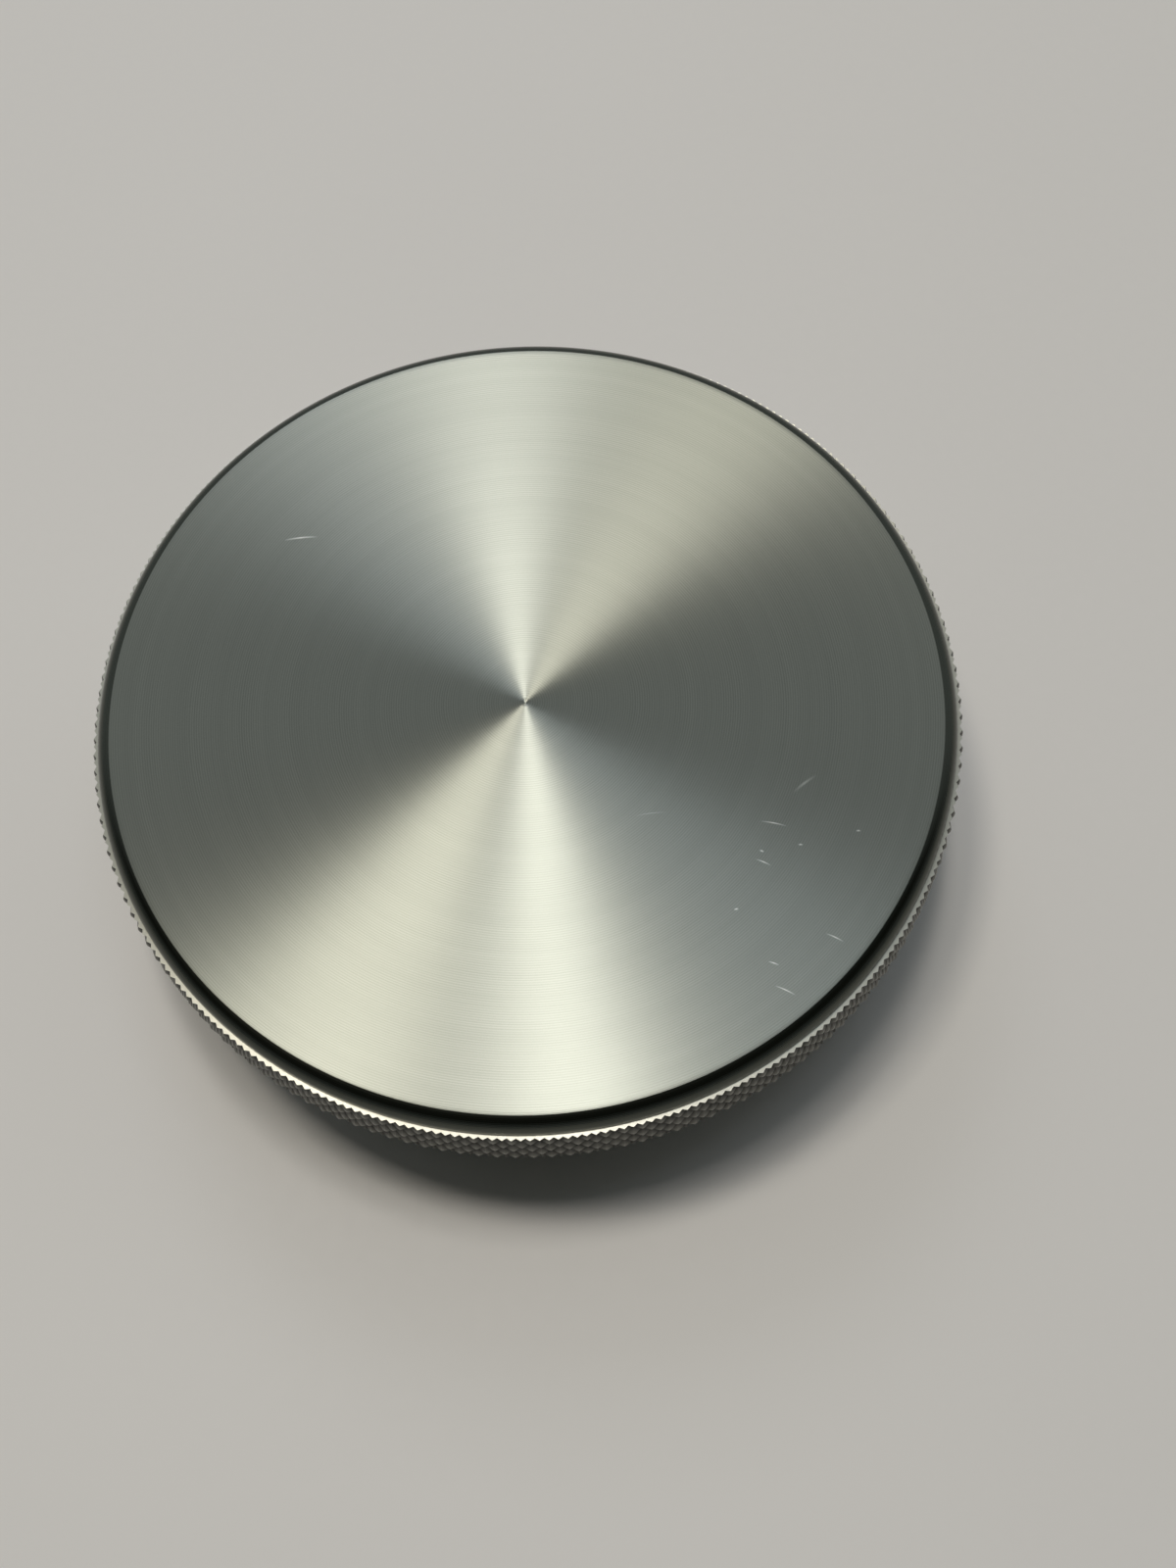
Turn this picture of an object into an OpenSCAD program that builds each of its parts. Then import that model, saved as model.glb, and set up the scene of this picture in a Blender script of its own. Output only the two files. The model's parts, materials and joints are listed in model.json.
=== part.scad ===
// Round bobbin case turned from aluminium bar.
// A knurled push-fit lid with an O-ring covers a cup, whose tray holds seven bobbins on posts.
// The origin is the centre of the underside, where the base pad rests, and +Z points up.

/* [Lid] */
// Diameter over the knurl
lid_d = 70; // [68:0.5:76]
// Height of the knurled band
band_h = 5.9; // [5:0.1:8]
// Diamonds of the knurl round the band
knurl_teeth = 156; // [120:2:170]
// Half diamonds of the knurl over the band's height
knurl_rows = 5; // [3:1:6]
// Depth of the knurl
knurl_depth = 0.35; // [0.2:0.01:0.4]
// Width of the ledge between the knurl's tips and the raised boss
ledge_w = 0.55; // [0.5:0.05:0.8]
// Height of the raised boss above the ledge
boss_h = 1.6; // [1.3:0.1:2.5]
// Radius of the boss's rounded edge
boss_fillet = 1.5; // [0.8:0.1:1.2]
// Thickness of the lid's top
lid_top = 1.9; // [1.7:0.1:2.5]
// Diameter of the dimple that the tool leaves in the middle of the top
dimple_d = 0.7; // [0.4:0.1:1.5]
// Depth of the dimple
dimple_h = 0.15; // [0.1:0.05:0.3]

/* [Seal] */
// Thickness of the O-ring's cord
seal_cord = 1.0; // [0.9:0.05:1.1]
// Height of the groove's lower side above the lid's lower edge
seal_lift = 1.5; // [1.2:0.1:2.5]
// Thickness of the cork disc glued inside the lid
liner_h = 1.0; // [0.5:0.1:1.2]

/* [Cup] */
// Outer diameter of the cup
cup_d = 64.8; // [64:0.1:64.8]
// Thickness of the cup's wall
wall = 1.4; // [1:0.1:1.4]
// Height of the cup's rim above the surface that the case stands on
rim_z = 17; // [17:0.1:19]
// Thickness of the cup's floor over the pad's recess
floor_h = 1.2; // [1:0.1:1.4]
// Chamfer round the cup's lower edge
foot_chamfer = 0.8; // [0.4:0.1:1.2]

/* [Base pad] */
// Thickness of the pad under the cup
pad_h = 1.0; // [0.8:0.1:1.2]
// How far the pad stands out of its recess
pad_proud = 0.4; // [0.2:0.1:0.5]
// Diameter of the pad
pad_d = 58; // [50:1:60]

/* [Tray] */
// Thickness of the tray plate
tray_h = 1.2; // [1.1:0.1:1.4]
// Distance from the middle post to each of the others
pitch_r = 20.6; // [20.5:0.05:20.7]
// Diameter of a post
post_d = 5.9; // [5.8:0.05:5.95]
// Length of a post above its collar
post_h = 10.4; // [6:0.1:11]
// Screws that hold the tray down
screws = 3; // [2:1:3]

/* [Bobbins] */
// Diameter of a bobbin's flanges
bobbin_d = 20.3; // [20:0.1:20.3]
// Height of a bobbin
bobbin_h = 11.7; // [11:0.1:11.7]
// Diameter of a bobbin's bore
bobbin_bore = 6; // [6:0.05:6.1]
// Thickness of a bobbin's flanges
flange_h = 0.8; // [0.6:0.1:1]
// Diameter of a bobbin's barrel
barrel_d = 8; // [7.6:0.1:9]
// Holes through each flange
flange_holes = 7; // [4:1:8]

/* [Hidden] */
$fn = 96;
eps = 0.01;                         // cuts run this far past the faces that they open
ring_posts = 6;                     // posts round the middle one
spools = ring_posts + 1;            // the middle post is number 1
lid_r = lid_d / 2;
boss_r = lid_r - ledge_w;
lid_z = rim_z + lid_top;            // top of the case
ledge_z = lid_z - boss_h;
band_z = ledge_z - band_h;          // the lid's lower edge
cup_r = cup_d / 2;
slip = 0.2;                         // radial gap between the cup and the lid's skirt
skirt_r = cup_r + slip;
bore_r = cup_r - wall;              // inside of the cup
groove_h = 1.4 * seal_cord;
seal_gap = 0.07;                    // between the O-ring and what it runs on
seal_r = cup_r + seal_gap + seal_cord / 2;
groove_r = seal_r + seal_cord / 2 + seal_gap;
groove_z = band_z + seal_lift;
liner_r = bore_r - 0.4;
recess_z = pad_h;                   // ceiling of the pad's recess
floor_z = recess_z + floor_h;
tray_z = floor_z + tray_h;
tray_r = bore_r - 0.15;
collar = [4.2, 0.3];                // radius and height of a post's collar
spool_z = tray_z + collar[1];       // underside of the bobbins
stem_r = 2;                         // a post's stem, pressed into the tray
screw_r = 1;                        // M2
screw_head = [1.9, 1.0];            // radius and height of the countersunk head
screw_slot = [3, 0.45, 0.5];        // half length, width and depth of the slot in a head
screw_tip_z = recess_z + 0.3;
screw_pcr = 27.2;                   // the screws' distance from the axis
hole_r = 1.1;                       // radius of the holes in a bobbin's flanges
hole_pcr = 7.2;                     // their distance from the bobbin's axis
windings = [8.9, 9.2, 8.4, 9.4, 8.0, 9.0, 9.3];     // radius of the thread on each bobbin
thread_rgb = [[0.86, 0.84, 0.78], [0.62, 0.08, 0.10], [0.08, 0.14, 0.36], [0.80, 0.55, 0.12],
              [0.10, 0.34, 0.22], [0.05, 0.05, 0.06], [0.10, 0.42, 0.50]];

// Centre of post i
function post_at(i) = i == 1 ? [0, 0, 0] : let (a = (i - 2) * 360 / ring_posts)
    [pitch_r * cos(a), pitch_r * sin(a), 0];

// The lid's band with its diamond knurl, cut level at both ends. On a lattice of half diamonds, tips
// and roots take turns both round and up the band, and each cell is folded along the groove that
// joins its two roots. The lattice runs half a row past each end of the band.
module knurled_band() {
    n = 2 * knurl_teeth;
    rows = knurl_rows + 1;
    row_h = band_h / knurl_rows;
    points = [for (j = [0:rows], i = [0:n - 1])
        let (a = i * 360 / n, r = lid_r - ((i + j) % 2) * knurl_depth)
        [r * cos(a), r * sin(a), band_z + (j - 0.5) * row_h]];
    function at(i, j) = i % n + n * j;
    cells = [for (j = [0:rows - 1], i = [0:n - 1])
        let (a = at(i, j), b = at(i + 1, j), c = at(i + 1, j + 1), d = at(i, j + 1))
        each (i + j) % 2 == 1 ? [[a, c, b], [a, d, c]] : [[a, d, b], [b, d, c]]];
    ends = [[for (i = [0:n - 1]) at(i, 0)], [for (i = [n - 1:-1:0]) at(i, rows)]];
    intersection() {
        polyhedron(points, concat(cells, ends));
        translate([0, 0, band_z]) cylinder(r = lid_r + 1, h = band_h);
    }
}

// Revolved outline of the boss, from the lid's lower edge to its rounded top edge
module boss() {
    core_r = lid_r - 3 * knurl_depth;
    rotate_extrude() difference() {
        union() {
            translate([0, ledge_z - 1]) square([core_r, 1]);
            translate([0, ledge_z - eps]) square([boss_r, boss_h - boss_fillet + eps]);
            translate([0, lid_z - boss_fillet - eps]) square([boss_r - boss_fillet, boss_fillet + eps]);
            intersection() {
                translate([boss_r - boss_fillet, lid_z - boss_fillet]) circle(boss_fillet);
                translate([0, lid_z - boss_fillet]) square([boss_r, boss_fillet]);
            }
        }
        translate([0, lid_z - dimple_h])
            polygon([[0, 0], [dimple_d / 2, dimple_h + eps], [0, dimple_h + eps]]);
    }
}

// Lid: knurled band, raised boss, and a bored skirt with a groove for the O-ring
module lid() {
    color("silver") difference() {
        union() {
            knurled_band();
            boss();
        }
        translate([0, 0, band_z - eps]) cylinder(r = skirt_r, h = rim_z - band_z + eps);
        translate([0, 0, groove_z]) cylinder(r = groove_r, h = groove_h);
        translate([0, 0, band_z - eps]) cylinder(r1 = skirt_r + 0.4, r2 = skirt_r, h = 0.4);
    }
}

// Disc inside the lid that keeps the bobbins from rattling
module lid_liner() {
    color("burlywood") translate([0, 0, rim_z - liner_h]) cylinder(r = liner_r, h = liner_h);
}

module o_ring() {
    color("dimgray") translate([0, 0, groove_z + groove_h / 2])
        rotate_extrude() translate([seal_r, 0]) circle(d = seal_cord);
}

// Where the tray's screws stand, in the gaps between the outer bobbins
module at_screws() {
    for (k = [0:screws - 1])
        rotate(180 / ring_posts + k * 360 / screws) translate([screw_pcr, 0, 0]) children();
}

// Cup: revolved wall and floor, recessed below for the pad and tapped for the screws
module cup() {
    lip = 0.3;
    color("silver") difference() {
        rotate_extrude() polygon([
            [0, pad_proud], [cup_r - foot_chamfer, pad_proud], [cup_r, pad_proud + foot_chamfer],
            [cup_r, rim_z - lip], [cup_r - lip, rim_z], [bore_r + lip, rim_z], [bore_r, rim_z - lip],
            [bore_r, floor_z], [0, floor_z]]);
        translate([0, 0, -eps]) cylinder(d = pad_d + 0.2, h = recess_z + eps);
        at_screws() translate([0, 0, screw_tip_z]) cylinder(r = screw_r, h = floor_z);
    }
}

module base_pad() {
    bevel = 0.2;
    color([0.10, 0.10, 0.11]) rotate_extrude() polygon([
        [0, 0], [pad_d / 2 - bevel, 0], [pad_d / 2, bevel], [pad_d / 2, pad_h], [0, pad_h]]);
}

// Tray: plate that carries the posts and is screwed to the cup's floor
module tray() {
    color([0.13, 0.13, 0.14]) difference() {
        translate([0, 0, floor_z]) cylinder(r = tray_r, h = tray_h);
        for (i = [1:spools])
            translate(post_at(i) + [0, 0, floor_z - eps]) cylinder(r = stem_r, h = tray_h + 2 * eps);
        at_screws() {
            translate([0, 0, floor_z - eps]) cylinder(r = screw_r, h = tray_h);
            translate([0, 0, tray_z - screw_head[1]])
                cylinder(r1 = screw_r, r2 = screw_head[0], h = screw_head[1]);
            translate([0, 0, tray_z - eps]) cylinder(r = screw_head[0], h = 2 * eps);
        }
    }
}

// Countersunk screws with a straight slot, flush with the tray
module tray_screws() {
    color("gainsboro") at_screws() difference() {
        union() {
            translate([0, 0, screw_tip_z]) cylinder(r = screw_r, h = tray_z - screw_head[1] - screw_tip_z);
            translate([0, 0, tray_z - screw_head[1]])
                cylinder(r1 = screw_r, r2 = screw_head[0], h = screw_head[1]);
        }
        translate([-screw_slot[0], -screw_slot[1] / 2, tray_z - screw_slot[2]])
            cube([2 * screw_slot[0], screw_slot[1], 1]);
    }
}

// Post: stem in the tray, collar that the bobbin sits on, and a pin with a rounded end
module post(i) {
    r = post_d / 2;
    tip = 0.9;
    color("gainsboro") translate(post_at(i)) rotate_extrude() union() {
        translate([0, floor_z]) square([stem_r, tray_h]);
        translate([0, tray_z]) square([collar[0], collar[1]]);
        translate([0, spool_z]) square([r, post_h - tip]);
        translate([0, spool_z + post_h - tip - eps]) square([r - tip, tip + eps]);
        intersection() {
            translate([r - tip, spool_z + post_h - tip]) circle(tip);
            translate([0, spool_z + post_h - tip]) square([r, tip]);
        }
    }
}

// Bobbin: barrel between two drilled flanges
module bobbin(i) {
    edge = 0.25;
    r = bobbin_d / 2;
    color("lightgray") translate(post_at(i) + [0, 0, spool_z]) difference() {
        rotate_extrude() polygon([
            [bobbin_bore / 2, 0], [r - edge, 0], [r, edge], [r, flange_h - edge], [r - edge, flange_h],
            [barrel_d / 2, flange_h], [barrel_d / 2, bobbin_h - flange_h], [r - edge, bobbin_h - flange_h],
            [r, bobbin_h - flange_h + edge], [r, bobbin_h - edge], [r - edge, bobbin_h],
            [bobbin_bore / 2, bobbin_h]]);
        for (k = [0:flange_holes - 1], z = [-eps, bobbin_h - flange_h - eps])
            rotate(k * 360 / flange_holes) translate([hole_pcr, 0, z])
                cylinder(r = hole_r, h = flange_h + 2 * eps);
    }
}

// Thread wound on the barrel, filling the space between the flanges
module thread_winding(i) {
    r = windings[i - 1];
    h = bobbin_h - 2 * flange_h;
    shoulder = 0.5;
    color(thread_rgb[i - 1]) translate(post_at(i) + [0, 0, spool_z + flange_h]) rotate_extrude() polygon([
        [barrel_d / 2, 0], [r - shoulder, 0], [r, shoulder], [r, h - shoulder], [r - shoulder, h],
        [barrel_d / 2, h]]);
}

lid();
lid_liner();
o_ring();
cup();
base_pad();
tray();
tray_screws();
for (i = [1:spools]) {
    post(i);
    bobbin(i);
    thread_winding(i);
}
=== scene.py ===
"""Round bobbin case turned from aluminium: surfaces, finishes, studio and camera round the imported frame."""

import json
import logging
import math
from dataclasses import dataclass
from enum import IntEnum

import bpy
import numpy as np
from mathutils import Euler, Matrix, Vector


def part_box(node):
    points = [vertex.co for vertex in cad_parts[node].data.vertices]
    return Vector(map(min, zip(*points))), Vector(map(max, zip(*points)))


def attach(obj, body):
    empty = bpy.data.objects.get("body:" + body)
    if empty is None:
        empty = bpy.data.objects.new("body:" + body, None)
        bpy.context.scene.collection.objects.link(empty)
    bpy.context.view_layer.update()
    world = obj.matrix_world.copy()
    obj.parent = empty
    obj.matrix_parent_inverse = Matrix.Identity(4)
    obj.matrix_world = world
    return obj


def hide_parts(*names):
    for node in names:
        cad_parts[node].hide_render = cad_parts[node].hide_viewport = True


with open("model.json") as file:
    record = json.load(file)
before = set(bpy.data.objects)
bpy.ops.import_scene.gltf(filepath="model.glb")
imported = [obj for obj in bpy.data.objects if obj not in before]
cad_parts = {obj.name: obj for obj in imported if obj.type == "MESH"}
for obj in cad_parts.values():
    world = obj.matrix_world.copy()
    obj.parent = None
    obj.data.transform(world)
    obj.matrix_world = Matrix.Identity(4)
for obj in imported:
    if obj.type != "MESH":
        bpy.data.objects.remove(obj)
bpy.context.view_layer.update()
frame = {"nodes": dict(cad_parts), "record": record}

MM = 0.001
TAU = 2 * math.pi
SAME_POINT = 1e-9  # metres; points closer than this are one point
LOG = logging.getLogger("bobbin_case")
Rgb = tuple[float, float, float]


# ---------------------------------------------------------------- outlines and surfaces


def line(start: tuple[float, float], end: tuple[float, float], steps: int = 1) -> np.ndarray:
    """Points along a straight stretch of an outline.

    Each point is start + t (end - start), with t in equal steps from 0 to 1.

    Args:
        start: Radius and height where the stretch begins.
        end: Radius and height where it ends.
        steps: Number of equal steps.

    Returns:
        Array of (radius, height) rows.
    """
    share = np.linspace(0.0, 1.0, steps + 1)[:, None]
    return np.array(start) + share * (np.array(end) - np.array(start))


def arc(centre: tuple[float, float], radius: float, first: float, last: float, steps: int) -> np.ndarray:
    """Points along a round stretch of an outline.

    Each point is centre + radius (cos a, sin a), with a in equal steps from first to last.

    Args:
        centre: Radius and height of the arc's centre.
        radius: Radius of the arc.
        first: Angle of the first point, in degrees from the outward direction.
        last: Angle of the last point.
        steps: Number of equal steps.

    Returns:
        Array of (radius, height) rows.
    """
    angle = np.radians(np.linspace(first, last, steps + 1))
    return np.array(centre) + radius * np.stack([np.cos(angle), np.sin(angle)], axis=1)


def outline(*stretches: np.ndarray) -> np.ndarray:
    """Joins stretches into one outline, without the points that two neighbours share.

    Args:
        *stretches: Arrays of (radius, height) rows, each of which starts where the last one ends.

    Returns:
        Array of (radius, height) rows.
    """
    points = np.concatenate(stretches)
    apart = np.linalg.norm(np.diff(points, axis=0), axis=1) > SAME_POINT
    return points[np.concatenate([[True], apart])]


@dataclass(frozen=True)
class Knurl:
    """Diamond knurl: V-grooves along two crossing helices, with so many rows of half diamonds.

    At angle a and height z, the wave of each helix is the triangle wave of teeth a / turn plus or
    minus half the rows climbed, which is 1 on a crest and 0 at a groove's bottom. The surface is
    the root radius plus the depth times the smaller of the two waves, with the crests blunted.
    """

    radius: float
    depth: float
    low: float
    height: float
    teeth: int = 156
    rows: int = 5
    crest: float = 0.14

    def surface(self, angle: np.ndarray, height: np.ndarray) -> np.ndarray:
        """Radius of the knurled surface.

        Args:
            angle: Angles round the axis, in radians.
            height: Heights, in metres, that go with the angles.

        Returns:
            Radius at each angle and height.
        """
        climb = 0.5 * ((height - self.low) * self.rows / self.height + 0.5)
        turns = self.teeth * angle / TAU
        right, left = (np.abs(2.0 * np.mod(turns + hand * climb, 1.0) - 1.0) for hand in (1.0, -1.0))
        sunk = np.clip(1.0 - np.minimum(right, left) - self.crest, 0.0, None) / (1.0 - self.crest)
        return self.radius - self.depth * sunk


@dataclass(frozen=True)
class Turned:
    """Surface of revolution about an upright axis, closed in itself.

    A point is centre + (r cos a, r sin a, z) for each outline point (r, z) and angle a. The
    outline runs with the solid on its right. Where it starts and ends on the axis, those two
    points become single poles; otherwise it is a closed loop and its last point joins the first.
    """

    profile: np.ndarray
    columns: int
    centre: tuple[float, float] = (0.0, 0.0)

    def rings(self, knurl: Knurl | None = None) -> np.ndarray:
        """Points of the surface.

        Args:
            knurl: Knurl that is cut where the outline reaches beyond it.

        Returns:
            Array of rings, with rows along the outline, columns round it and x, y and z last.
        """
        angle = np.arange(self.columns) * TAU / self.columns
        radius = np.repeat(self.profile[:, :1], self.columns, axis=1)
        height = np.repeat(self.profile[:, 1:], self.columns, axis=1)
        if knurl is not None:
            radius = np.minimum(radius, knurl.surface(angle[None, :], height))
        return np.stack(
            [self.centre[0] + radius * np.cos(angle), self.centre[1] + radius * np.sin(angle), height], axis=2
        )

    def build(self, name: str, sharp: float = 35.0, knurl: Knurl | None = None) -> bpy.types.Object:
        """Makes the surface into an object at the origin.

        Args:
            name: Name of the object.
            sharp: Angle between faces, in degrees, from which an edge is shaded sharp.
            knurl: Knurl that is cut where the outline reaches beyond it.

        Returns:
            The new object.
        """
        rings = self.rings(knurl)
        flip = None if knurl is None else self._diagonals(rings, knurl)
        return grid_object(name, rings, bool(self.profile[0, 0] < SAME_POINT), sharp, flip)

    def _diagonals(self, rings: np.ndarray, knurl: Knurl) -> np.ndarray:
        """Says which way each face is split, so that the folds follow the knurl's grooves.

        A face's diagonal is the one whose middle, halfway between the radii of its two corners,
        lies closer to the knurled surface there.

        Args:
            rings: Points of the surface, whose first and last rings are poles.
            knurl: Knurl that the surface carries.

        Returns:
            For each face, whether it is split along its other diagonal.
        """
        points = rings[1:-1]
        corner = np.hypot(points[..., 0], points[..., 1])
        right = np.roll(corner, -1, axis=1)
        angle = (np.arange(self.columns) + 0.5) * TAU / self.columns
        level = (points[:-1, :, 2] + points[1:, :, 2]) / 2
        true = knurl.surface(angle[None, :], level)
        first = np.abs((corner[:-1] + right[1:]) / 2 - true)
        second = np.abs((corner[1:] + right[:-1]) / 2 - true)
        return second < first


def grid_object(
    name: str, rings: np.ndarray, poles: bool, sharp: float, flip: np.ndarray | None = None
) -> bpy.types.Object:
    """Closes rings of points into a mesh.

    A face joins points (i, j), (i + 1, j), (i + 1, j + 1) and (i, j + 1), with j wrapping round.
    With poles, the first and last rings shrink to one point each; without, i wraps round too.

    Args:
        name: Name of the object.
        rings: Points, rows by columns by 3, in metres.
        poles: Whether the first and last rows are single points.
        sharp: Angle between faces, in degrees, from which an edge is shaded sharp.
        flip: Where given, faces are split in two, along the other diagonal where this is true.

    Returns:
        The new object, linked to the scene.
    """
    body = rings[1:-1] if poles else rings
    rows, columns = body.shape[:2]
    index = np.arange(rows * columns).reshape(rows, columns)
    upper = index[:-1] if poles else index
    lower = index[1:] if poles else np.roll(index, -1, axis=0)
    quads = np.stack([upper, lower, np.roll(lower, -1, axis=1), np.roll(upper, -1, axis=1)], axis=2)
    points = body.reshape(-1, 3)
    quads = quads.reshape(-1, 4)
    faces = quads.tolist()
    if flip is not None:
        quads = np.where(flip.reshape(-1, 1), np.roll(quads, -1, axis=1), quads)
        faces = quads[:, [0, 1, 2, 0, 2, 3]].reshape(-1, 3).tolist()
    if poles:
        points = np.concatenate([points, rings[:1, 0], rings[-1:, 0]])
        first = np.stack([np.full(columns, len(points) - 2), index[0], np.roll(index[0], -1)], axis=1)
        last = np.stack([np.full(columns, len(points) - 1), np.roll(index[-1], -1), index[-1]], axis=1)
        faces += first.tolist() + last.tolist()
    mesh = bpy.data.meshes.new(name)
    mesh.from_pydata(points.tolist(), [], faces)
    mesh.shade_smooth()
    mesh.set_sharp_from_angle(angle=math.radians(sharp))
    piece = bpy.data.objects.new(name, mesh)
    bpy.context.scene.collection.objects.link(piece)
    return piece


# ---------------------------------------------------------------- shader maths


class Value:
    """A number output of a node, so that shader maths reads as an expression."""

    def __init__(self, tree: "Tree", socket: bpy.types.NodeSocket) -> None:
        """Wraps an output socket of a node tree."""
        self.tree = tree
        self.socket = socket

    def math(self, operation: str, *others: "Value | float") -> "Value":
        """Adds a Math node of that operation on this value and the others."""
        return self.tree.value("ShaderNodeMath", {"operation": operation}, dict(enumerate([self, *others])))

    def __add__(self, other: "Value | float") -> "Value":
        """This value plus another."""
        return self.math("ADD", other)

    __radd__ = __add__

    def __mul__(self, other: "Value | float") -> "Value":
        """This value times another."""
        return self.math("MULTIPLY", other)

    __rmul__ = __mul__

    def __sub__(self, other: "Value | float") -> "Value":
        """This value less another."""
        return self.math("SUBTRACT", other)

    def __rsub__(self, other: float) -> "Value":
        """A number less this value."""
        return self.tree.value("ShaderNodeMath", {"operation": "SUBTRACT"}, {0: other, 1: self})

    def __truediv__(self, other: "Value | float") -> "Value":
        """This value over another."""
        return self.math("DIVIDE", other)

    def __pow__(self, other: float) -> "Value":
        """This value to a power."""
        return self.math("POWER", other)

    def clamped(self) -> "Value":
        """This value held between 0 and 1."""
        return self.math("MINIMUM", 1.0).math("MAXIMUM", 0.0)


class Tree:
    """Node tree of a material or a world, with one method that makes any node."""

    def __init__(self, owner: bpy.types.Material | bpy.types.World) -> None:
        """Takes over the owner's tree and empties it.

        Args:
            owner: Material or world whose look the tree makes.
        """
        owner.use_nodes = True
        self.owner = owner
        self.nodes = owner.node_tree.nodes
        self.links = owner.node_tree.links
        self.nodes.clear()

    @classmethod
    def of_material(cls, name: str) -> "Tree":
        """Tree of a new material of that name."""
        return cls(bpy.data.materials.new(name))

    def node(self, kind: str, settings: dict | None = None, sockets: dict | None = None) -> bpy.types.Node:
        """Makes a node, sets it up and fills its sockets.

        Args:
            kind: Type of the node.
            settings: Its properties, such as a Math node's operation, which are set first.
            sockets: Input sockets by name or number, each a plain value, a Value or an output socket.

        Returns:
            The new node.
        """
        node = self.nodes.new(kind)
        for key, setting in (settings or {}).items():
            setattr(node, key, setting)
        for key, given in (sockets or {}).items():
            socket = node.inputs[key] if isinstance(key, int) else self._socket(node.inputs, key)
            source = given.socket if isinstance(given, Value) else given
            if isinstance(source, bpy.types.NodeSocket):
                self.links.new(source, socket)
            elif isinstance(source, tuple) and len(source) == 3 and len(socket.default_value) == 4:
                socket.default_value = (*source, 1.0)
            else:
                socket.default_value = source
        return node

    @staticmethod
    def _socket(sockets: bpy.types.bpy_prop_collection, name: str) -> bpy.types.NodeSocket:
        """Finds the socket in use that has that name or identifier."""
        return next(s for s in sockets if s.enabled and name in (s.name, s.identifier))

    def output(self, node: bpy.types.Node, name: str) -> Value:
        """An output of a node, by its name, as a value."""
        return Value(self, self._socket(node.outputs, name))

    def value(self, kind: str, settings: dict | None = None, sockets: dict | None = None) -> Value:
        """Makes a node and returns its first output that is in use."""
        node = self.node(kind, settings, sockets)
        return Value(self, next(s for s in node.outputs if s.enabled))

    def place(self) -> bpy.types.NodeSocket:
        """Object coordinates, in metres in the frame's own axes."""
        return self.node("ShaderNodeTexCoord").outputs["Object"]

    def axes(self, place: bpy.types.NodeSocket) -> tuple[Value, Value, Value]:
        """The three coordinates of a place."""
        split = self.node("ShaderNodeSeparateXYZ", sockets={"Vector": place})
        return self.output(split, "X"), self.output(split, "Y"), self.output(split, "Z")

    @staticmethod
    def from_axis(x: Value, y: Value) -> Value:
        """Distance of a place from the upright axis."""
        return (x * x + y * y).math("SQRT")

    def noise(self, place: bpy.types.NodeSocket, scale: float, detail: float = 2.0) -> Value:
        """Smooth noise between 0 and 1 at a place; scale is in waves per metre."""
        return self.value("ShaderNodeTexNoise", sockets={"Vector": place, "Scale": scale, "Detail": detail})

    def noise_along(self, distance: Value, scale: float, detail: float = 1.0) -> Value:
        """Smooth noise between 0 and 1 that changes along one distance only."""
        return self.value(
            "ShaderNodeTexNoise",
            {"noise_dimensions": "1D"},
            {"W": distance, "Scale": scale, "Detail": detail},
        )

    def blend(self, share: "Value | float", first: "Value | Rgb", second: "Value | Rgb") -> Value:
        """Colour between two colours: first where the share is 0 and second where it is 1."""
        return self.value(
            "ShaderNodeMix",
            {"data_type": "RGBA"},
            {"Factor_Float": share, "A_Color": first, "B_Color": second},
        )

    def bump(self, height: Value, depth: float) -> Value:
        """Normal of a relief whose height, between 0 and 1, stands for that depth in metres."""
        return self.value("ShaderNodeBump", sockets={"Height": height, "Distance": depth, "Strength": 1.0})

    def finish(self, sockets: dict) -> bpy.types.Material:
        """Puts a Principled shader at the end of the tree.

        Args:
            sockets: The shader's input sockets, as for a node.

        Returns:
            The material that owns the tree.
        """
        shader = self.node("ShaderNodeBsdfPrincipled", sockets=sockets)
        self.node("ShaderNodeOutputMaterial", sockets={"Surface": shader.outputs["BSDF"]})
        return self.owner


# ---------------------------------------------------------------- finishes


def shaded(colour: Rgb, share: float) -> Rgb:
    """That share of a colour's brightness."""
    return (colour[0] * share, colour[1] * share, colour[2] * share)


@dataclass(frozen=True)
class Scratch:
    """A short bright mark: its middle and length, its heading in degrees, its width and strength.

    It bows sideways by its bow times its length at a whole length from its middle.
    """

    x: float
    y: float
    length: float
    heading: float
    width: float = 0.14 * MM
    strength: float = 1.0
    bow: float = 0.12


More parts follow.
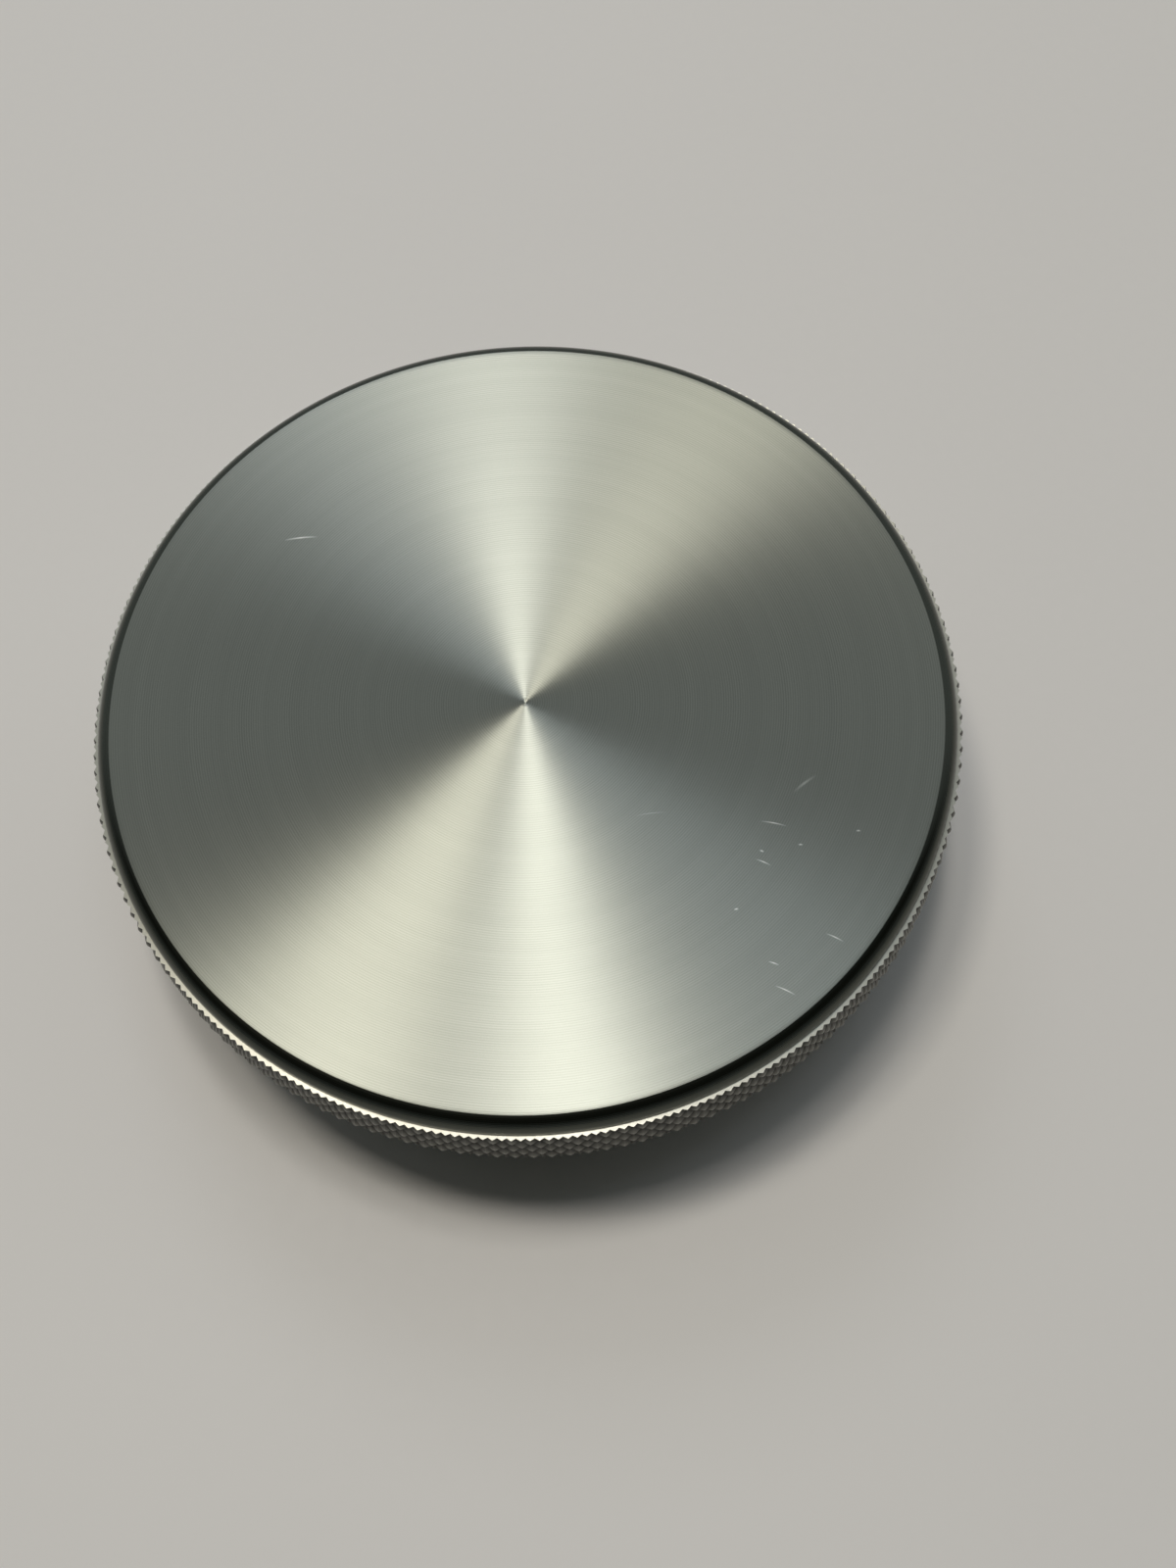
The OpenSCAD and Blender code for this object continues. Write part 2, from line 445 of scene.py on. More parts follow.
@dataclass(frozen=True)
class TurnedMetal:
    """Bare metal off the lathe, whose fine lines stretch each highlight across them.

    The stretch and turn are the shader's anisotropy and its rotation, and the feed is the distance
    between lines. Here and in the other finishes, waves are in waves per metre.
    """

    name: str
    colour: Rgb
    roughness: float = 0.33
    stretch: float = 0.97
    turn: float = 0.25
    feed: float = 0.19 * MM
    line_depth: float = 0.006 * MM
    line_contrast: float = 0.45
    grain_waves: float = 9000.0
    haze_waves: float = 60.0
    scratch_colour: Rgb = (0.95, 0.95, 0.93)
    scratches: tuple[Scratch, ...] = ()

    def material(self) -> bpy.types.Material:
        """Makes the material.

        The turning lines are waves of radius less height, which runs out over a face and on down
        its wall, with their strength varied by noise along the same distance.

        Returns:
            The new material.
        """
        tree = Tree.of_material(self.name)
        place = tree.place()
        x, y, z = tree.axes(place)
        run = tree.from_axis(x, y) - z
        wave = (run * (TAU / self.feed)).math("SINE") * 0.5 + 0.5
        fine = tree.noise_along(run, 1.7 / self.feed, detail=2.0)
        broad = tree.noise_along(run, 0.12 / self.feed, detail=1.0)
        lines = wave * (0.35 + 0.65 * broad) * 0.6 + fine * 0.4
        grain = tree.noise(place, self.grain_waves, detail=3.0)
        haze = tree.noise(place, self.haze_waves, detail=3.0)
        mark = self._marks(x, y)
        dark = shaded(self.colour, 1.0 - self.line_contrast)
        colour = tree.blend((lines * 0.75 + grain * 0.25).clamped(), dark, self.colour)
        colour = tree.blend(mark, colour, self.scratch_colour)
        rough = self.roughness * (0.90 + 0.14 * haze + 0.10 * lines) + mark * 0.25
        return tree.finish({
            "Base Color": colour,
            "Metallic": 1.0 - mark * 0.7,
            "Roughness": rough,
            "Anisotropic": self.stretch,
            "Anisotropic Rotation": self.turn,
            "Normal": tree.bump(lines + grain * 0.30, self.line_depth),
        })

    def _marks(self, x: Value, y: Value) -> Value | float:
        """Strength of the scratches, 1 on a mark's middle line and 0 off it.

        Along and across a mark are the coordinates turned by its heading; the mark fades where
        either passes half its length or width.

        Args:
            x: First coordinate of the face.
            y: Second coordinate of the face.

        Returns:
            Strength of all the marks together, held to 1, or plain 0 without marks.
        """
        total: Value | float = 0.0
        for scratch in self.scratches:
            heading = math.radians(scratch.heading)
            dx, dy = x - scratch.x, y - scratch.y
            along = (dx * math.cos(heading) + dy * math.sin(heading)).math("ABSOLUTE")
            bow = along * along * (scratch.bow / scratch.length)
            across = (dy * math.cos(heading) - dx * math.sin(heading) + bow).math("ABSOLUTE")
            lengthwise = (1.0 - along / (scratch.length / 2)).clamped()
            crosswise = (1.0 - across / (scratch.width / 2)).clamped()
            total = total + lengthwise * crosswise * scratch.strength
        return total.clamped() if isinstance(total, Value) else total


@dataclass(frozen=True)
class KnurledMetal:
    """The same bare metal where a knurl was rolled into it, with painted shade darkening the grooves so that
    the crests read brighter.
    """

    name: str
    colour: Rgb
    tip_radius: float
    depth: float
    roughness: float = 0.26
    groove_shade: float = 0.07
    groove_shade_spread: float = 0.6
    groove_shade_waves: float = 900.0
    grain_waves: float = 5200.0
    grain_depth: float = 0.006 * MM

    def material(self) -> bpy.types.Material:
        """Makes the material.

        How deep a point lies under the tip radius, as a share of the knurl's depth, raised to the
        spread of the painted shade and made uneven by noise, darkens and roughens it; the darkening is
        painted shade in the grooves.

        Returns:
            The new material.
        """
        tree = Tree.of_material(self.name)
        place = tree.place()
        x, y, _ = tree.axes(place)
        sunk = ((self.tip_radius - tree.from_axis(x, y)) / self.depth).clamped()
        grain = tree.noise(place, self.grain_waves, detail=3.0)
        # Painted shade: the grooves are darkened by how deep they lie, made uneven by noise.
        painted_groove_shade = (sunk ** self.groove_shade_spread * (0.75 + 0.5 * tree.noise(place, self.groove_shade_waves))).clamped()
        colour = tree.blend(painted_groove_shade, self.colour, shaded(self.colour, self.groove_shade))
        return tree.finish({
            "Base Color": colour,
            "Metallic": 1.0,
            "Roughness": self.roughness + 0.20 * painted_groove_shade + 0.08 * grain,
            "Normal": tree.bump(grain, self.grain_depth),
        })


@dataclass(frozen=True)
class Rubber:
    """Dull black rubber with a fine mould grain and a little dust."""

    name: str
    colour: Rgb
    dust_colour: Rgb = (0.30, 0.29, 0.27)
    dust_share: float = 0.25
    dust_waves: float = 240.0
    grain_waves: float = 4200.0
    grain_depth: float = 0.02 * MM

    def material(self) -> bpy.types.Material:
        """Makes the material, with dust where a broad noise rises above its middle.

        Returns:
            The new material.
        """
        tree = Tree.of_material(self.name)
        place = tree.place()
        grain = tree.noise(place, self.grain_waves, detail=4.0)
        dust = (tree.noise(place, self.dust_waves, detail=4.0) * 2.4 - 1.2).clamped()
        colour = tree.blend(dust * self.dust_share, self.colour, self.dust_colour)
        return tree.finish({
            "Base Color": colour,
            "Roughness": 0.62 + 0.18 * grain,
            "Normal": tree.bump(grain, self.grain_depth),
            "Specular IOR Level": 0.4,
        })


@dataclass(frozen=True)
class Cork:
    """Pressed cork: pale granules of mixed browns with dark gaps between them."""

    name: str = "pressed_cork"
    granules: float = 850.0
    dark: Rgb = (0.40, 0.24, 0.12)
    pale: Rgb = (0.66, 0.47, 0.28)
    gap_colour: Rgb = (0.13, 0.07, 0.035)
    gap_sharpness: float = 9.0
    speck_waves: float = 3800.0
    relief: float = 0.05 * MM

    def material(self) -> bpy.types.Material:
        """Makes the material from cells, with so many granules to the metre.

        Returns:
            The new material.
        """
        tree = Tree.of_material(self.name)
        place = tree.place()
        cells, edges = (
            tree.node("ShaderNodeTexVoronoi", {"feature": feature}, {"Vector": place, "Scale": self.granules})
            for feature in ("F1", "DISTANCE_TO_EDGE")
        )
        shade = tree.value("ShaderNodeSeparateColor", sockets={"Color": tree.output(cells, "Color")})
        gap = (1.0 - tree.output(edges, "Distance") * self.gap_sharpness).clamped()
        speck = tree.noise(place, self.speck_waves, detail=3.0)
        colour = tree.blend(shade, self.dark, self.pale)
        colour = tree.blend(gap * 0.65 + speck * 0.15, colour, self.gap_colour)
        return tree.finish({
            "Base Color": colour,
            "Roughness": 0.80 + 0.10 * speck,
            "Normal": tree.bump(1.0 - gap * 0.7 + speck * 0.3, self.relief),
        })


@dataclass(frozen=True)
class Acetal:
    """Black acetal plastic faced on a lathe: satin, with faint rings and small nicks."""

    name: str = "black_acetal"
    dark: Rgb = (0.018, 0.018, 0.020)
    pale: Rgb = (0.045, 0.045, 0.048)
    ring_waves: float = 4200.0
    grain_waves: float = 2600.0
    relief: float = 0.006 * MM

    def material(self) -> bpy.types.Material:
        """Makes the material, with rings that are noise along the radius.

        Returns:
            The new material.
        """
        tree = Tree.of_material(self.name)
        place = tree.place()
        x, y, _ = tree.axes(place)
        rings = tree.noise_along(tree.from_axis(x, y), self.ring_waves, detail=3.0)
        grain = tree.noise(place, self.grain_waves, detail=3.0)
        return tree.finish({
            "Base Color": tree.blend(rings * 0.6 + grain * 0.4, self.dark, self.pale),
            "Roughness": 0.38 + 0.16 * rings,
            "Normal": tree.bump(rings + grain * 0.3, self.relief),
        })


@dataclass(frozen=True)
class Plated:
    """Bright plated steel: smooth, slightly warm, with a faint haze and handling marks."""

    name: str
    colour: Rgb
    roughness: float
    wear: float = 0.82
    haze_waves: float = 320.0
    rub_waves: float = 2300.0
    rub_depth: float = 0.003 * MM

    def material(self) -> bpy.types.Material:
        """Makes the material, duller by its wear where two noises are low.

        Returns:
            The new material.
        """
        tree = Tree.of_material(self.name)
        place = tree.place()
        haze = tree.noise(place, self.haze_waves, detail=4.0)
        rub = tree.noise(place, self.rub_waves, detail=5.0)
        return tree.finish({
            "Base Color": tree.blend(haze * 0.5 + rub * 0.5, shaded(self.colour, self.wear), self.colour),
            "Metallic": 1.0,
            "Roughness": self.roughness * (0.7 + 0.5 * haze + 0.3 * rub),
            "Normal": tree.bump(rub, self.rub_depth),
        })


@dataclass(frozen=True)
class SewingThread:
    """Twisted sewing thread: a soft sheen, with painted shade between the strands and a painted highlight on
    them.

    The fibres are in waves round the bobbin and in waves per pitch of the winding.
    """

    name: str
    colour: Rgb
    centre: tuple[float, float]
    pitch: float
    fibres_round: float = 190.0
    fibres_up: float = 1.5
    fluff_waves: float = 5200.0
    crease_shade_share: float = 0.55
    crest_highlight_share: float = 1.18
    crest_highlight_lift: float = 0.015
    relief: float = 0.03 * MM

    def material(self) -> bpy.types.Material:
        """Makes the material.

        Fibre marks slant across each strand: they are waves of the angle round the bobbin and the
        height together, with noise. They are painted shade in the furrows and a painted highlight on
        the crests, in darker and lighter copies of the thread's colour.

        Returns:
            The new material.
        """
        tree = Tree.of_material(self.name)
        place = tree.place()
        x, y, z = tree.axes(place)
        angle = (y - self.centre[1]).math("ARCTAN2", x - self.centre[0])
        slant = angle * self.fibres_round + z * (TAU / self.pitch) * self.fibres_up
        fibres = slant.math("SINE") * 0.5 + 0.5
        fluff = tree.noise(place, self.fluff_waves, detail=4.0)
        shade = (fibres * 0.55 + fluff * 0.45).clamped()
        # Painted shade in the furrows and painted highlight on the crests: darker and lighter copies of the
        # thread's colour.
        dark = shaded(self.colour, self.crease_shade_share)
        light = tuple(min(1.0, channel * self.crest_highlight_share + self.crest_highlight_lift) for channel in self.colour)
        return tree.finish({
            "Base Color": tree.blend(shade, dark, light),
            "Roughness": 0.55 + 0.15 * fluff,
            "Normal": tree.bump(shade, self.relief),
            "Sheen Weight": 0.35,
            "Sheen Roughness": 0.4,
        })


# ---------------------------------------------------------------- sub-assemblies


def dress(piece: bpy.types.Object, *materials: bpy.types.Material) -> bpy.types.Object:
    """Puts the materials in a piece's slots, in place of what is there.

    Args:
        piece: Object to dress.
        *materials: Its materials, in the order of its slots.

    Returns:
        The same object.
    """
    piece.data.materials.clear()
    for material in materials:
        piece.data.materials.append(material)
    return piece


def dress_node(node: str, material: bpy.types.Material) -> None:
    """Gives a carried-over node a better material through its object's slot.

    Args:
        node: Name of the node, whose mesh stays as it is.
        material: Material for all its slots.
    """
    piece = frame["nodes"][node]
    for slot in piece.material_slots:
        slot.link = "OBJECT"
        slot.material = material
    LOG.info("%s keeps its solid, finished as %s", node, material.name)


def settle(piece: bpy.types.Object, node: str, body: str) -> None:
    """Lets a new piece stand for a node and ride on its body.

    Args:
        piece: The new piece.
        node: Node that it replaces.
        body: Body that it moves with.
    """
    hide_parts(node)
    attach(piece, body)
    LOG.info("%s stands for %s on body %s", piece.name, node, body)


ALUMINIUM: Rgb = (0.335, 0.347, 0.314)
# Painted shade: the rounded edge's colour is a darker copy of the face's aluminium, standing in for its dark
# reflections.
SHADED_EDGE_ALUMINIUM: Rgb = (0.115, 0.123, 0.105)
# Painted light: the ledge's colour is a brighter copy of the face's aluminium, standing in for the light it
# catches.
LIT_LEDGE_ALUMINIUM: Rgb = (0.62, 0.61, 0.55)
# Painted shade: the knurled band's colour is a darker copy of the face's aluminium, standing in for the
# shaded table it reflects.
SHADED_RIM_ALUMINIUM: Rgb = (0.27, 0.27, 0.245)
CUP_ALUMINIUM: Rgb = (0.44, 0.45, 0.43)
LID_MARKS = (
    Scratch(-18.8 * MM, 15.2 * MM, 2.8 * MM, 6.0, 0.20 * MM),
    Scratch(19.4 * MM, -10.5 * MM, 2.1 * MM, -12.0),
    Scratch(18.5 * MM, -13.7 * MM, 1.3 * MM, -25.0),
    Scratch(23.7 * MM, -19.8 * MM, 1.5 * MM, -27.0),
    Scratch(19.8 * MM, -23.9 * MM, 1.7 * MM, -26.0),
    Scratch(19.0 * MM, -21.8 * MM, 0.9 * MM, -20.0),
    Scratch(21.9 * MM, -7.2 * MM, 2.4 * MM, 38.0, 0.30 * MM, 0.35),
    Scratch(18.4 * MM, -12.8 * MM, 0.4 * MM, -24.0, 0.20 * MM),
    Scratch(25.9 * MM, -11.2 * MM, 0.4 * MM, 0.0, 0.18 * MM),
    Scratch(16.3 * MM, -17.5 * MM, 0.4 * MM, 10.0, 0.18 * MM),
    Scratch(21.4 * MM, -12.3 * MM, 0.4 * MM, 0.0, 0.18 * MM),
    Scratch(9.9 * MM, -9.6 * MM, 2.5 * MM, 7.0, 0.12 * MM, 0.25),
)


class Skin(IntEnum):
    """Finishes of the lid, in the order of its material slots."""

    FACE = 0
    EDGE = 1
    BAND = 2
    LEDGE = 3


@dataclass(frozen=True)
class Lid:
    """The turned lid, with its liner and its O-ring.

    The groove holds its radius and its lower and upper heights, and the dimple its radius and
    depth. A narrow hold on each side of the flat face keeps its shading flat. The rounded edge
    is polished, and coloured darker as painted shade, from the given share of its width outwards.
    """

    columns_per_tooth: int = 8
    rings_per_row: int = 4
    knurl_rows: int = 5
    knurl_depth: float = 0.35 * MM
    band_height: float = 5.9 * MM
    ledge: float = 0.55 * MM
    edge: float = 1.5 * MM
    edge_steps: int = 14
    polished_painted_shade_from: float = 0.25
    chamfer: float = 0.12 * MM
    lead_in: float = 0.4 * MM
    hold: float = 0.05 * MM
    skirt: float = 32.6 * MM
    groove: tuple[float, float, float] = (33.54 * MM, 12.9 * MM, 14.3 * MM)
    ceiling: float = 17.0 * MM
    dimple: tuple[float, float] = (0.35 * MM, 0.15 * MM)
    sharp: float = 20.0

    def profile(self, low: Vector, high: Vector) -> np.ndarray:
        """Outline of the lid, from the dimple in its top round to the middle of its ceiling.

        Args:
            low: Lowest corner of the lid's box.
            high: Highest corner of the lid's box.

        Returns:
            Array of (radius, height) rows.
        """
        tip, top, bottom = high.x, high.z, low.z
        boss = tip - self.ledge
        shelf = bottom + self.band_height
        flat = boss - self.edge
        bore, cut, cut_low, cut_high = self.skirt, *self.groove
        lead_in, hold = self.lead_in, self.hold
        pit, depth = self.dimple
        return outline(
            line((0.0, top - depth), (pit, top)),
            line((pit, top), (pit + hold, top)),
            line((pit + hold, top), (flat - hold, top), 5),
            line((flat - hold, top), (flat, top)),
            arc((flat, top - self.edge), self.edge, 90.0, 0.0, self.edge_steps),
            line((boss, top - self.edge), (boss, shelf)),
            line((boss, shelf), (tip - self.chamfer, shelf)),
            line((tip, shelf), (tip, bottom), self.rings_per_row * self.knurl_rows)[1:-1],
            line((tip - self.chamfer, bottom), (bore + lead_in, bottom), 2),
            line((bore + lead_in, bottom), (bore, bottom + lead_in)),
            line((bore, bottom + lead_in), (bore, cut_low)),
            line((bore, cut_low), (cut, cut_low)),
            line((cut, cut_low), (cut, cut_high)),
            line((cut, cut_high), (bore, cut_high)),
            line((bore, cut_high), (bore, self.ceiling)),
            line((bore, self.ceiling), (0.0, self.ceiling), 3),
        )

    def build(self) -> None:
        """Builds the lid and dresses it: turned on its faces and knurled on its band."""
        low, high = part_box("lid")
        knurl = Knurl(high.x, self.knurl_depth, low.z, self.band_height, rows=self.knurl_rows)
        surface = Turned(self.profile(low, high), knurl.teeth * self.columns_per_tooth)
        piece = surface.build("turned_lid", self.sharp, knurl)
        face = TurnedMetal("turned_aluminium", ALUMINIUM, scratches=LID_MARKS)
        # Painted shade on the rounded edge: a darker copy of the face's metal.
        edge = TurnedMetal("polished_edge_painted_shade", SHADED_EDGE_ALUMINIUM, roughness=0.17, stretch=0.7)
        # Painted light on the ledge: a brighter copy of the face's metal.
        ledge = TurnedMetal("painted_light_ledge", LIT_LEDGE_ALUMINIUM, roughness=0.40, stretch=0.95, line_contrast=0.08)
        # Painted shade on the knurled band: a darker copy of the face's metal, with more painted shade in its
        # grooves.
        rim = KnurledMetal("knurled_aluminium", SHADED_RIM_ALUMINIUM, high.x, self.knurl_depth)
        skins = {Skin.FACE: face, Skin.EDGE: edge, Skin.BAND: rim, Skin.LEDGE: ledge}
        dress(piece, *(skins[skin].material() for skin in Skin))
        self._share_out(piece, low, high)
        settle(piece, "lid", "lid")
        dress_node("lid_liner", Cork().material())
        dress_node("o_ring", Rubber("nitrile", (0.020, 0.020, 0.021)).material())

    def _share_out(self, piece: bpy.types.Object, low: Vector, high: Vector) -> None:
        """Gives each face its skin, by how far out and how high its middle lies.

        Args:
            piece: The lid.
            low: Lowest corner of its box.
            high: Highest corner of its box.
        """
        polygons = piece.data.polygons
        middle = np.zeros(len(polygons) * 3, np.float32)
        polygons.foreach_get("center", middle)
        middle = middle.reshape(-1, 3)
        radius = np.hypot(middle[:, 0], middle[:, 1])
        shelf = low.z + self.band_height
        hair = 0.01 * MM
        on_band = (radius > high.x - self.knurl_depth - self.chamfer) & (middle[:, 2] < shelf - hair)
        flat = high.x - self.ledge - self.edge
        on_edge = (radius > flat + self.polished_painted_shade_from * self.edge) & (middle[:, 2] > shelf + hair)
        on_ledge = (radius > flat) & (np.abs(middle[:, 2] - shelf) < hair)
        skin = np.select([on_edge, on_band, on_ledge], [Skin.EDGE, Skin.BAND, Skin.LEDGE], Skin.FACE)
        polygons.foreach_set("material_index", skin.astype(np.int32))


@dataclass(frozen=True)
class Cup:
    """The turned cup and the pad under it. The recess holds its radius and its ceiling's height."""

    columns: int = 256
    bore: float = 31.0 * MM
    floor: float = 2.2 * MM
    recess: tuple[float, float] = (29.1 * MM, 1.0 * MM)
    chamfer: float = 0.8 * MM
    lip: float = 0.3 * MM
    lip_steps: int = 5
    sharp: float = 40.0

    def profile(self, low: Vector, high: Vector) -> np.ndarray:
        """Outline of the cup, from the middle of its floor over the wall to the middle of its recess.

        Args:
            low: Lowest corner of the cup's box.
            high: Highest corner of the cup's box.

        Returns:
            Array of (radius, height) rows.
        """
        wall, rim, foot = high.x, high.z, low.z
        inset, ceiling = self.recess
        return outline(
            line((0.0, self.floor), (self.bore, self.floor), 3),
            line((self.bore, self.floor), (self.bore, rim - self.lip)),
            arc((self.bore + self.lip, rim - self.lip), self.lip, 180.0, 90.0, self.lip_steps),
            arc((wall - self.lip, rim - self.lip), self.lip, 90.0, 0.0, self.lip_steps),
            line((wall, rim - self.lip), (wall, foot + self.chamfer), 2),
            line((wall, foot + self.chamfer), (wall - self.chamfer, foot), 2),
            line((wall - self.chamfer, foot), (inset, foot)),
            line((inset, foot), (inset, ceiling)),
            line((inset, ceiling), (0.0, ceiling), 2),
        )

    def build(self) -> None:
        """Builds the cup and dresses it and its pad."""
        low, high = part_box("cup")
        piece = Turned(self.profile(low, high), self.columns).build("turned_cup", self.sharp)
        metal = TurnedMetal("cup_aluminium", CUP_ALUMINIUM, line_contrast=0.25, feed=0.14 * MM)
        dress(piece, metal.material())
        settle(piece, "cup", "case")
        dress_node("base_pad", Rubber("pad_rubber", (0.028, 0.028, 0.030)).material())


@dataclass(frozen=True)
class Winding:
    """Thread wound on a bobbin in level turns, each a little wave in the wound outline.

    The radius at angle a and height z is the wound radius, less four things: a quarter round over
    the shoulder at each end, a slow sag that waves up and round the winding, and the ridge depth
    times 1 - |cos(pi (z / pitch - a / turn))|, so that one ridge climbs by one pitch a turn.
    """

    number: int
    pitch: float = 0.24 * MM
    rows_per_strand: int = 5
    columns: int = 72
    inner: float = 4.0 * MM
    shoulder: float = 0.5 * MM
    roundness: float = 0.9
    sag: float = 0.10 * MM
    sag_up: float = 7.0
    sag_round: float = 3.0
    sag_uneven: float = 0.3
    ridge: float = 0.11 * MM
    sharp: float = 75.0

    def build(self, colour: Rgb) -> None:
        """Builds the winding of one bobbin and dresses it.

        Args:
            colour: Colour of the thread.
        """
        node = f"thread_{self.number}"
        low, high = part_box(node)
        centre = (float(low.x + high.x) / 2, float(low.y + high.y) / 2)
        wound = (high.x - low.x) / 2
        height = high.z - low.z
        rows = int(height / self.pitch) * self.rows_per_strand
        level = np.linspace(0.0, 1.0, rows + 1)
        angle = np.arange(self.columns) * TAU / self.columns
        z = high.z - level * height
        strand = np.abs(np.cos(math.pi * (z[:, None] / self.pitch - angle[None, :] / TAU)))
        waves = (1.0 + np.sin(self.sag_up * level + self.number))[:, None]
        dip = self.sag * waves * (1.0 + self.sag_uneven * np.sin(self.sag_round * angle))
        edge = np.clip(np.minimum(level, 1.0 - level) * height / self.shoulder, 0.0, 1.0)[:, None]
        rounding = self.roundness * self.shoulder * (1.0 - np.sqrt(1.0 - (1.0 - edge) ** 2))
        radius = wound - rounding - dip - self.ridge * (1.0 - strand)
        x, y = centre[0] + radius * np.cos(angle), centre[1] + radius * np.sin(angle)
        skin = np.stack([x, y, np.repeat(z[:, None], self.columns, axis=1)], axis=2)
        barrel = np.array([[self.inner, low.z], [self.inner, high.z]])
        core = Turned(barrel, self.columns, centre).rings()
        rings = np.concatenate([skin, core])
        piece = grid_object(f"wound_thread_{self.number}", rings, False, self.sharp)
        pieces = frame["record"]["subparts"]
        slot = next(entry["material_slot"] for entry in pieces if entry["node"] == node)
        dress(piece, SewingThread(f"sewing_{slot}", colour, centre, self.pitch).material())
        settle(piece, node, f"spool_{self.number}")


@dataclass(frozen=True)
class Tray:
    """The tray with its screws and posts, and the bobbins on them."""

    thread_colours: tuple[Rgb, ...] = (
        (0.78, 0.74, 0.66),
        (0.52, 0.035, 0.05),
        (0.035, 0.075, 0.26),
        (0.72, 0.40, 0.045),
        (0.035, 0.20, 0.11),
        (0.020, 0.020, 0.023),
        (0.03, 0.27, 0.34),
    )

    def build(self) -> None:
        """Dresses the tray, screws, posts and bobbins, and winds the thread."""
        dress_node("tray", Acetal().material())
        dress_node("tray_screws", Plated("stainless_steel", (0.62, 0.61, 0.59), 0.30).material())
        post = Plated("post_aluminium", (0.78, 0.79, 0.78), 0.28).material()
        nickel = Plated("nickel_plate", (0.76, 0.73, 0.68), 0.20).material()
        for number, colour in enumerate(self.thread_colours, 1):
            dress_node(f"post_{number}", post)
            dress_node(f"bobbin_{number}", nickel)
            Winding(number).build(colour)


# ---------------------------------------------------------------- studio


SQUARE = ((-1.0, -1.0), (1.0, -1.0), (1.0, 1.0), (-1.0, 1.0))


@dataclass(frozen=True)
class Lamp:
    """A soft rectangular lamp, placed by where it stands and aimed at the case."""

    name: str
    place: tuple[float, float, float]
    size: tuple[float, float]
    power: float
    colour: Rgb = (1.0, 1.0, 1.0)

    def hang(self) -> None:
        """Adds the lamp to the scene."""
        light = bpy.data.lights.new(self.name, "AREA")
        light.shape = "RECTANGLE"
        light.size, light.size_y = self.size
        light.energy = self.power
        light.color = self.colour
        lamp = bpy.data.objects.new(self.name, light)
        lamp.location = self.place
        lamp.rotation_euler = (-Vector(self.place)).to_track_quat("-Z", "Y").to_euler()
        bpy.context.scene.collection.objects.link(lamp)


LAMPS = (
    Lamp("ceiling_lamp", (-0.03, 0.18, 1.18), (0.11, 0.28), 2.7, (1.0, 0.97, 0.89)),
    Lamp("left_lamp", (-0.27, 0.15, 1.16), (0.17, 0.20), 2.8, (1.0, 0.95, 0.83)),
    Lamp("right_lamp", (0.24, 0.16, 1.17), (0.30, 0.30), 0.50, (0.82, 0.93, 1.0)),
    Lamp("window", (-0.20, 0.83, 0.83), (0.40, 0.40), 1.0, (0.84, 0.90, 1.0)),
)


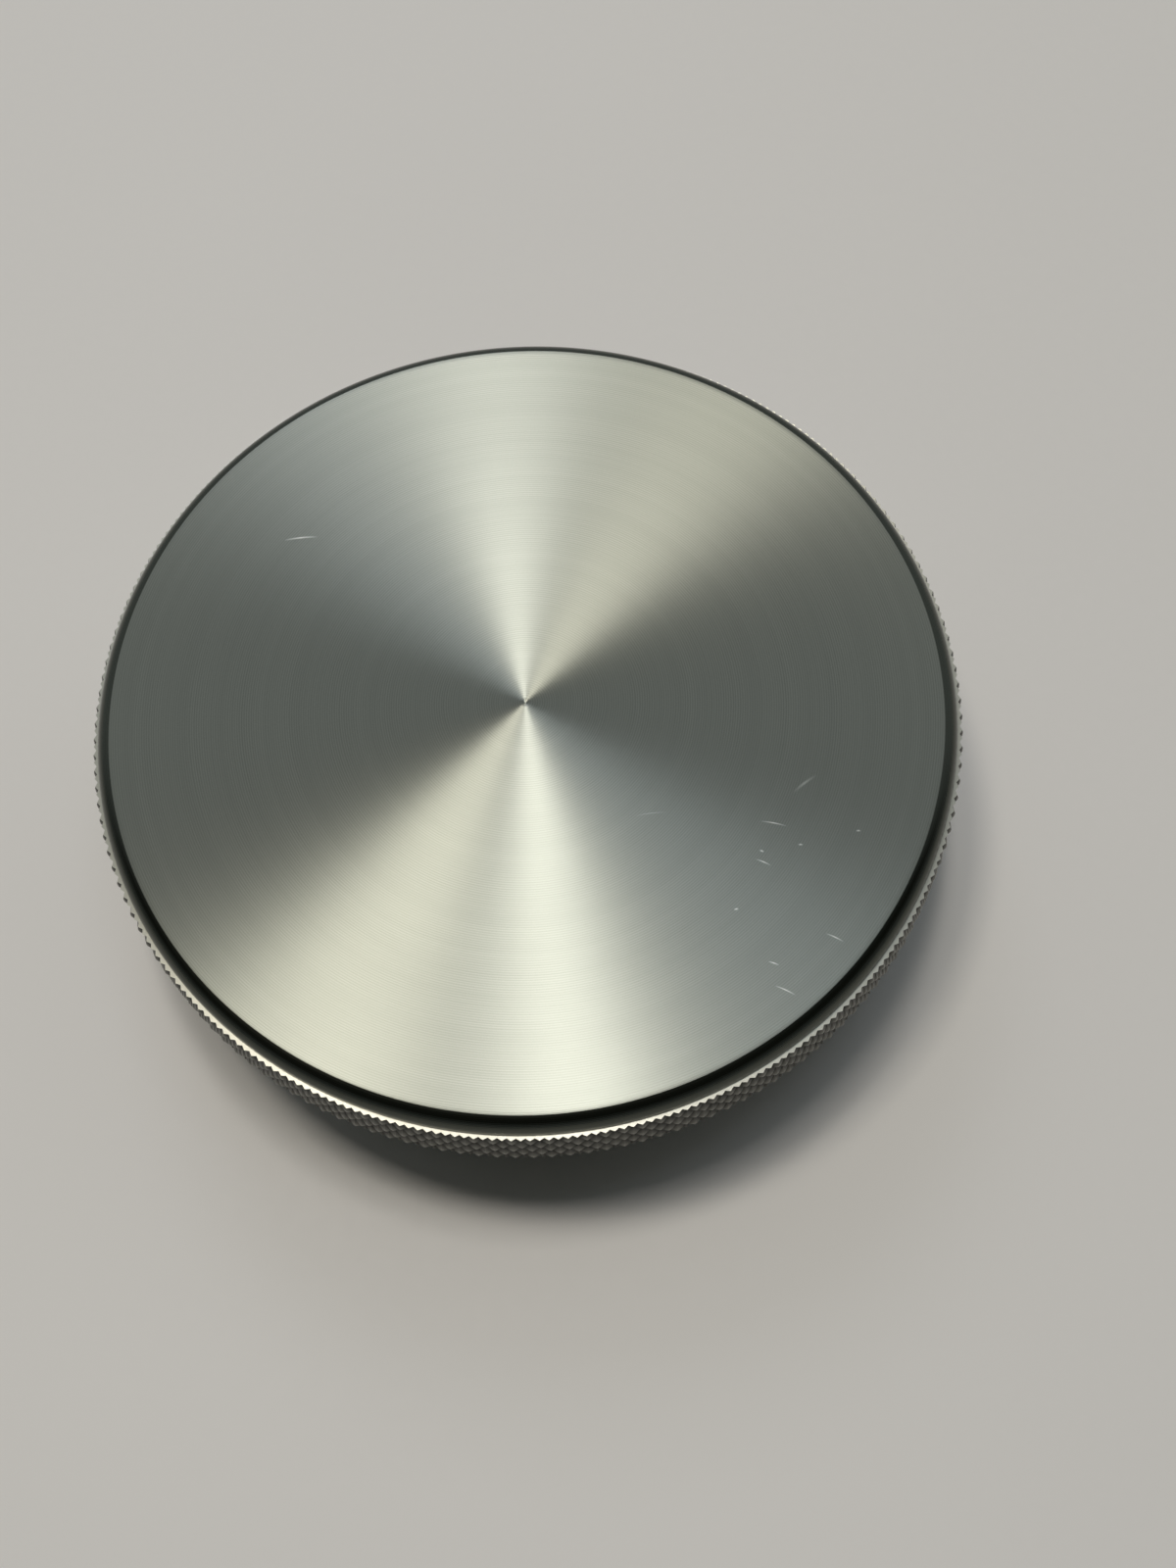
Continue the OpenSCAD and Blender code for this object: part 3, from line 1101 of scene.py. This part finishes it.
@dataclass(frozen=True)
class Studio:
    """A pale table, its lamps and the camera.

    The dusk and the skirting say where the room's two steps begin and end, as parts of the
    direction: its way towards the back, and its height. The skirting goes only part of the way to
    the bright colour. The table's mottle is its darkest and palest share of its colour.
    """

    table_colour: Rgb = (0.82, 0.79, 0.78)
    table_reach: float = 8.0
    mottle: tuple[float, float] = (0.95, 1.04)
    mottle_waves: float = 9.0
    grain_waves: float = 900.0
    room_back: Rgb = (0.335, 0.362, 0.362)
    room_front: Rgb = (0.024, 0.026, 0.021)
    dusk: tuple[float, float] = (0.0, 0.4)
    skirting: tuple[float, float] = (0.42, 0.22)
    skirting_share: float = 0.42
    camera_place: tuple[float, float, float] = (8.56 * MM, -65.27 * MM, 160.82 * MM)
    camera_aim: tuple[float, float, float] = (4.97 * MM, -6.44 * MM, 17.3 * MM)
    camera_roll: float = -3.77
    lens: float = 45.0
    sensor: float = 36.0
    near_clip: float = 0.005

    def set_up(self) -> None:
        """Lays the table, sets the room's light and places the lamps and the camera."""
        self._table()
        self._room()
        for lamp in LAMPS:
            lamp.hang()
        self._camera()

    def _table(self) -> None:
        """Pale satin table top under the case, large enough to fill every view."""
        corners = [(x * self.table_reach, y * self.table_reach, 0.0) for x, y in SQUARE]
        mesh = bpy.data.meshes.new("table")
        mesh.from_pydata(corners, [], [(0, 1, 2, 3)])
        table = bpy.data.objects.new("table", mesh)
        bpy.context.scene.collection.objects.link(table)
        tree = Tree.of_material("table_top")
        place = tree.place()
        cloud = tree.noise(place, self.mottle_waves, detail=2.0)
        grain = tree.noise(place, self.grain_waves, detail=3.0)
        dull, pale = (shaded(self.table_colour, share) for share in self.mottle)
        dress(table, tree.finish({
            "Base Color": tree.blend(cloud * 0.8 + grain * 0.2, dull, pale),
            "Roughness": 0.42 + 0.10 * grain,
            "Specular IOR Level": 0.35,
        }))

    def _room(self) -> None:
        """Dim light from the room, with a dark patch high up at the front.

        The share of the bright colour is the larger of two smooth steps: one of the direction's
        way towards the back, and a weaker one of how low it lies.
        """
        world = bpy.data.worlds.new("room")
        tree = Tree(world)
        _, back, up = tree.axes(tree.node("ShaderNodeTexCoord").outputs["Generated"])
        behind, low = (
            tree.value(
                "ShaderNodeMapRange",
                {"interpolation_type": "SMOOTHSTEP"},
                {"Value": way, "From Min": ends[0], "From Max": ends[1]},
            )
            for way, ends in ((back, self.dusk), (up, self.skirting))
        )
        bright = behind.math("MAXIMUM", low * self.skirting_share)
        colour = tree.blend(bright, self.room_front, self.room_back)
        sky = tree.node("ShaderNodeBackground", sockets={"Color": colour})
        tree.node("ShaderNodeOutputWorld", sockets={"Surface": sky.outputs["Background"]})
        bpy.context.scene.world = world

    def _camera(self) -> None:
        """Camera above the front of the case, turned by its roll about its own line of sight."""
        camera = bpy.data.cameras.new("camera")
        camera.lens = self.lens
        camera.sensor_width = self.sensor
        camera.clip_start = self.near_clip
        holder = bpy.data.objects.new("camera", camera)
        sight = Vector(self.camera_aim) - Vector(self.camera_place)
        roll = Euler((0.0, 0.0, math.radians(self.camera_roll))).to_quaternion()
        holder.location = self.camera_place
        holder.rotation_euler = (sight.to_track_quat("-Z", "Y") @ roll).to_euler()
        bpy.context.scene.collection.objects.link(holder)
        bpy.context.scene.camera = holder
        bpy.context.scene.view_settings.view_transform = "Standard"


def main() -> None:
    """Builds the case's sub-assemblies and the studio."""
    logging.basicConfig(level=logging.INFO, format="%(name)s: %(message)s")
    Studio().set_up()
    Lid().build()
    Cup().build()
    Tray().build()


if __name__ == "__main__":
    main()
